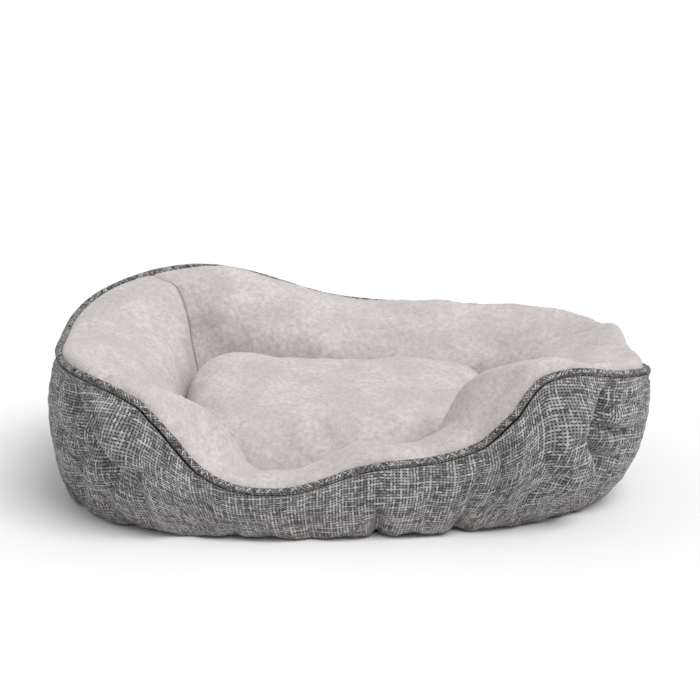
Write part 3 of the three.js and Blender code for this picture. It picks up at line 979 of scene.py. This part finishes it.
# ---------------------------------------------------------------- underside and floor of the well
def disc_grid(line, inset, count):
    """A square grid of points stretched into a plan outline, as shares of the way out and points."""
    a, b = (lerp(t, np.sin(t * math.pi / 2), 0.6) for t in (np.linspace(-1, 1, n) for n in count))
    a, b = np.meshgrid(a, b)
    share = np.maximum(np.abs(a), np.abs(b))
    bearing = np.degrees(np.arctan2(b * line[1], a * line[0]))
    radius = share * reach(line, bearing, inset)
    return share, radius * np.cos(np.radians(bearing)), radius * np.sin(np.radians(bearing)) + PLAN_SHIFT


def tack_pull(bearing, width):
    """How strongly the tacks pull, along bearings, where width is in degrees."""
    return sum(size * np.exp(-((np.abs(turn_off(bearing - place, 360)) / width) ** 1.3))
               for place, size in TACKS)


def flat_cloth(name, line, inset, count, height, material, ripple, thickness,
               tacked=False):
    share, x, y = disc_grid(line, inset, count)
    if tacked:
        pull = tack_pull(np.degrees(np.arctan2(y - PLAN_SHIFT, x)), 3.0)
        closer = 1 - 0.08 * pull * smooth(0.6, 1.0, share)
        x, y = x * closer, (y - PLAN_SHIFT) * closer + PLAN_SHIFT
    z = height + ripple * waves(np.stack([x, y, 0 * x], -1), 0.09, 51) * (1 - share**6)
    points = np.stack([x, y, z], -1)
    piece = add_piece(name, points, grid_faces(count[1], count[0]), material, "bed",
                      np.stack([x, y], -1))
    solidify(piece, thickness)
    return piece


def build_grip_dots():
    """Small rubber dots in staggered rows under the base cloth."""
    pitch, radius, sides = 0.012, 0.0016, 8
    points, faces = [], []
    for row in range(-18, 19):
        for column in range(-25, 26):
            x, y = (column + 0.5 * (row % 2)) * pitch, row * pitch * 0.87 + PLAN_SHIFT
            far = math.hypot(x, y - PLAN_SHIFT)
            if far > float(reach(FLOOR_LINE, math.degrees(math.atan2(y - PLAN_SHIFT, x)), 0.03)):
                continue
            start = len(points)
            ring = [(math.cos(k * 2 * math.pi / sides), math.sin(k * 2 * math.pi / sides)) for k in range(sides)]
            points += [(x + radius * c, y + radius * s, BASE_BOX[0].z + 0.0006) for c, s in ring]
            points += [(x + 0.7 * radius * c, y + 0.7 * radius * s, BASE_BOX[0].z + 0.0001) for c, s in ring]
            for k in range(sides):
                n = (k + 1) % sides
                faces.append([start + n, start + k, start + sides + k, start + sides + n])
            faces.append([start + sides + k for k in range(sides)][::-1])
            faces.append([start + k for k in range(sides)])
    return add_piece("base_grip_dots", points, faces, RUBBER, "bed")


def build_hem_stitches(wall):
    """Lockstitches that join the outer cover's hem to the base cloth."""
    length, pitch, radius = 0.0032, 0.0050, 0.00035
    path = wall.outer[2].copy()
    path[:, 2] = np.maximum(path[:, 2] - 0.0009, 0.0004)
    steps = np.linalg.norm(np.roll(path, -1, 0) - path, axis=1)
    along = np.concatenate([[0], np.cumsum(steps)])
    ring = np.concatenate([path, path[:1]])
    points, faces = [], []
    for start in np.arange(0, along[-1] - length, pitch):
        at = np.linspace(start, start + length, 4)
        line = np.stack([np.interp(at, along, ring[:, k]) for k in range(3)], -1)
        thick = radius * np.array([0.5, 1.0, 1.0, 0.5])
        body = tube(line, thick, 5)
        first = len(points)
        points += body.reshape(-1, 3).tolist()
        faces += [[first + k for k in face[::-1]] for face in grid_faces(5, 4, closed_rows=True)]
        faces.append([first + r * 4 for r in range(5)])
        faces.append([first + r * 4 + 3 for r in range(5)][::-1])
    return add_piece("hem_stitches", points, faces, THREAD, "bed")


def build_floor_parts(wall):
    base = flat_cloth("base_cloth_dark", FLOOR_LINE, 0.018, (140, 100), BASE_BOX[1].z, BASE,
                      0.0, 0.0009, tacked=True)
    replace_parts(base, "base_cloth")
    share, x, y = disc_grid(WELL_LINE, 0.004, (60, 44))
    z = DECK_TOP - 0.0016 + 0.0006 * waves(np.stack([x, y, 0 * x], -1), 0.06, 52)
    pad = add_piece("base_pad", np.stack([x, y, z], -1), grid_faces(44, 60), FIBRE, "bed")
    solidify(pad, DECK_TOP - 0.0016 - BASE_BOX[1].z - 0.0016)
    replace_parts(pad, "base_wadding")
    deck = flat_cloth("well_floor_lining", WELL_LINE, -0.004, (120, 84), DECK_TOP, LINING,
                      0.0006, 0.0010)
    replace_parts(deck, "floor_lining")
    build_grip_dots()
    build_hem_stitches(wall)


# ---------------------------------------------------------------- loose cushion
CUSHION_SEAM = 0.36
CUSHION_FRONT, CUSHION_BACK = 0.082, 0.121
CUSHION_CLEARANCE = 0.003


def cushion_grid(face, inset, count):
    """Points of one face of the cushion on a square grid stretched into its outline."""
    share, x, y = disc_grid(WELL_LINE, CUSHION_CLEARANCE + inset, count)
    back = ((y - PLAN_SHIFT) / WELL_LINE[1] + 1) / 2
    floor = CUSHION_BOX[0].z + inset
    crown = lerp(CUSHION_FRONT, CUSHION_BACK, back) - floor - inset
    # Nothing has pressed its back left corner.
    crown = crown + 0.010 * np.exp(-(((x + 0.125) / 0.05) ** 2) - ((y - 0.07) / 0.05) ** 2)
    if face == "top":
        # The back is squeezed up against the wall, so its edge is fuller than the front's.
        full = CUSHION_SEAM + (1 - CUSHION_SEAM) * (1 - share ** lerp(6.0, 15.0, back)) ** 0.5
    else:
        full = CUSHION_SEAM * (1 - (1 - share**5) ** 0.5)
    return np.stack([x, y, floor + crown * full], -1)


def edge_numbers(rows, columns):
    """Numbers of a grid's edge points, once round."""
    top = [c for c in range(columns)]
    right = [r * columns + columns - 1 for r in range(1, rows)]
    bottom = [(rows - 1) * columns + c for c in range(columns - 2, -1, -1)]
    left = [r * columns for r in range(rows - 2, 0, -1)]
    return top + right + bottom + left


def build_cushion():
    count = (74, 52)
    columns, rows = count
    top, under = cushion_grid("top", 0.003, count), cushion_grid("under", 0.003, count)
    edge = edge_numbers(rows, columns)
    inside = np.setdiff1d(np.arange(rows * columns), edge)
    number = np.zeros(rows * columns, int)
    number[inside] = rows * columns + np.arange(len(inside))
    number[edge] = edge
    points = np.concatenate([top.reshape(-1, 3), under.reshape(-1, 3)[inside]])
    top_faces = grid_faces(rows, columns)
    under_faces = [[int(number[k]) for k in face[::-1]] for face in top_faces]
    uv = np.concatenate([top.reshape(-1, 3)[:, :2], under.reshape(-1, 3)[inside][:, :2]])
    points = simulate_cushion(points, top_faces + under_faces, edge)
    face = slice(0, rows * columns)
    share = disc_grid(WELL_LINE, 0.0, count)[0].ravel()
    points[face, 2] += 0.0022 * waves(points[face], 0.10, 61) * smooth(1.0, 0.7, share)
    upper = add_piece("cushion_cover_top", points[:rows * columns], top_faces, PLUSH, "cushion",
                      uv[:rows * columns])
    keep = np.concatenate([edge, rows * columns + np.arange(len(inside))])
    order = {int(k): n for n, k in enumerate(keep)}
    lower = add_piece("cushion_cover_under", points[keep], [[order[k] for k in f] for f in under_faces],
                      LINING, "cushion", uv[keep])
    for piece, thickness in ((upper, PLUSH_THICKNESS), (lower, 0.0012)):
        subdivide(piece)
        solidify(piece, thickness)
    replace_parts(upper, "cushion_top")
    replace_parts(lower, "cushion_bottom")
    build_cushion_fill(points, top_faces, under_faces)
    build_cushion_seam(points[edge])


def subdivide(piece):
    modifier = piece.modifiers.new("finer", "SUBSURF")
    modifier.levels = modifier.render_levels = 1


def simulate_cushion(points, faces, edge):
    mesh = bpy.data.meshes.new("cushion_cloth")
    mesh.from_pydata(points.tolist(), [], faces)
    piece = bpy.data.objects.new("cushion_cloth", mesh)
    bpy.context.scene.collection.objects.link(piece)
    held = np.zeros(len(points))
    held[edge] = 0.9
    flat = (points[:, 2] < CUSHION_BOX[0].z + 0.006)
    held[flat] = 1.0
    moved = inflate(piece, held, 20, 4.0, 0.03)
    result = capped(points, moved, CUSHION_PUFF)
    result[:, 2] = np.maximum(result[:, 2], CUSHION_BOX[0].z + 0.0005)
    return result


def build_cushion_fill(points, top_faces, under_faces):
    middle = points.mean(0)
    way = points - middle
    inner = points - way / np.linalg.norm(way, axis=1, keepdims=True) * 0.008
    inner[:, 2] = lerp(middle[2], inner[:, 2], 0.86)
    piece = add_piece("cushion_fibre", inner, top_faces + under_faces, FIBRE, "cushion")
    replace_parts(piece, "cushion_fill")


def build_cushion_seam(edge):
    """The sewn edge between the cushion's two covers, as a thin rolled seam."""
    points = tube(edge, 0.0013, 6, closed=True)
    sides, steps = points.shape[:2]
    faces = [f[::-1] for f in grid_faces(sides, steps, closed_rows=True, closed_columns=True)]
    return add_piece("cushion_edge_seam", points, faces, THREAD, "cushion")


# ---------------------------------------------------------------- stage, light and camera
def build_stage():
    mesh = bpy.data.meshes.new("floor")
    half = 30.0
    mesh.from_pydata([(-half, -half, 0), (half, -half, 0), (half, half, 0), (-half, half, 0)], [],
                     [(0, 1, 2, 3)])
    floor = bpy.data.objects.new("floor", mesh)
    bpy.context.scene.collection.objects.link(floor)
    paint = bpy.data.materials.new("pale_floor")
    paint.use_nodes = True
    paint.node_tree.nodes["Principled BSDF"].inputs["Base Color"].default_value = (0.9, 0.9, 0.9, 1)
    paint.node_tree.nodes["Principled BSDF"].inputs["Roughness"].default_value = 0.9
    mesh.materials.append(paint)


def soft_sun(name, power, bearing, rise, spread):
    """An even, soft light from far away, from a bearing and a height in degrees."""
    data = bpy.data.lights.new(name, "SUN")
    data.energy, data.angle = power, math.radians(spread)
    light = bpy.data.objects.new(name, data)
    bpy.context.scene.collection.objects.link(light)
    a, e = math.radians(bearing), math.radians(rise)
    towards = Vector((math.cos(a) * math.cos(e), math.sin(a) * math.cos(e), math.sin(e)))
    light.rotation_euler = (-towards).to_track_quat("-Z", "Y").to_euler()


def build_lights():
    world = bpy.data.worlds.new("studio")
    world.use_nodes = True
    world.node_tree.nodes["Background"].inputs["Color"].default_value = (1.0, 1.0, 1.0, 1)
    world.node_tree.nodes["Background"].inputs["Strength"].default_value = 0.62
    bpy.context.scene.world = world
    soft_sun("key", 2.00, 306, 54, 38)
    soft_sun("fill", 0.22, 350, 36, 60)
    bpy.context.scene.view_settings.view_transform = "Standard"


CAMERA_BEARING, CAMERA_RISE, CAMERA_DISTANCE = -3.5, 15.6, 2.2
CAMERA_TARGET = Vector((0.0, 0.0, 0.06))
LENS, SENSOR = 106.4, 36.0
# How far the view is tilted up and turned to the right, so that the bed lies low in it.
TILT, PAN = 2.05, 0.075


def build_camera():
    data = bpy.data.cameras.new("camera")
    data.lens, data.sensor_width = LENS, SENSOR
    camera = bpy.data.objects.new("camera", data)
    bpy.context.scene.collection.objects.link(camera)
    a, e = math.radians(CAMERA_BEARING), math.radians(CAMERA_RISE)
    back = Vector((math.sin(a) * math.cos(e), -math.cos(a) * math.cos(e), math.sin(e)))
    camera.location = CAMERA_TARGET + back * CAMERA_DISTANCE
    look = math.radians(CAMERA_RISE - TILT)
    a -= math.radians(PAN)
    ahead = Vector((-math.sin(a) * math.cos(look), math.cos(a) * math.cos(look), -math.sin(look)))
    camera.rotation_euler = ahead.to_track_quat("-Z", "Y").to_euler()
    bpy.context.scene.camera = camera


build_camera()
build_lights()
build_stage()
WALL = Wall()
build_wall(WALL)
build_piping()
build_floor_parts(WALL)
build_cushion()
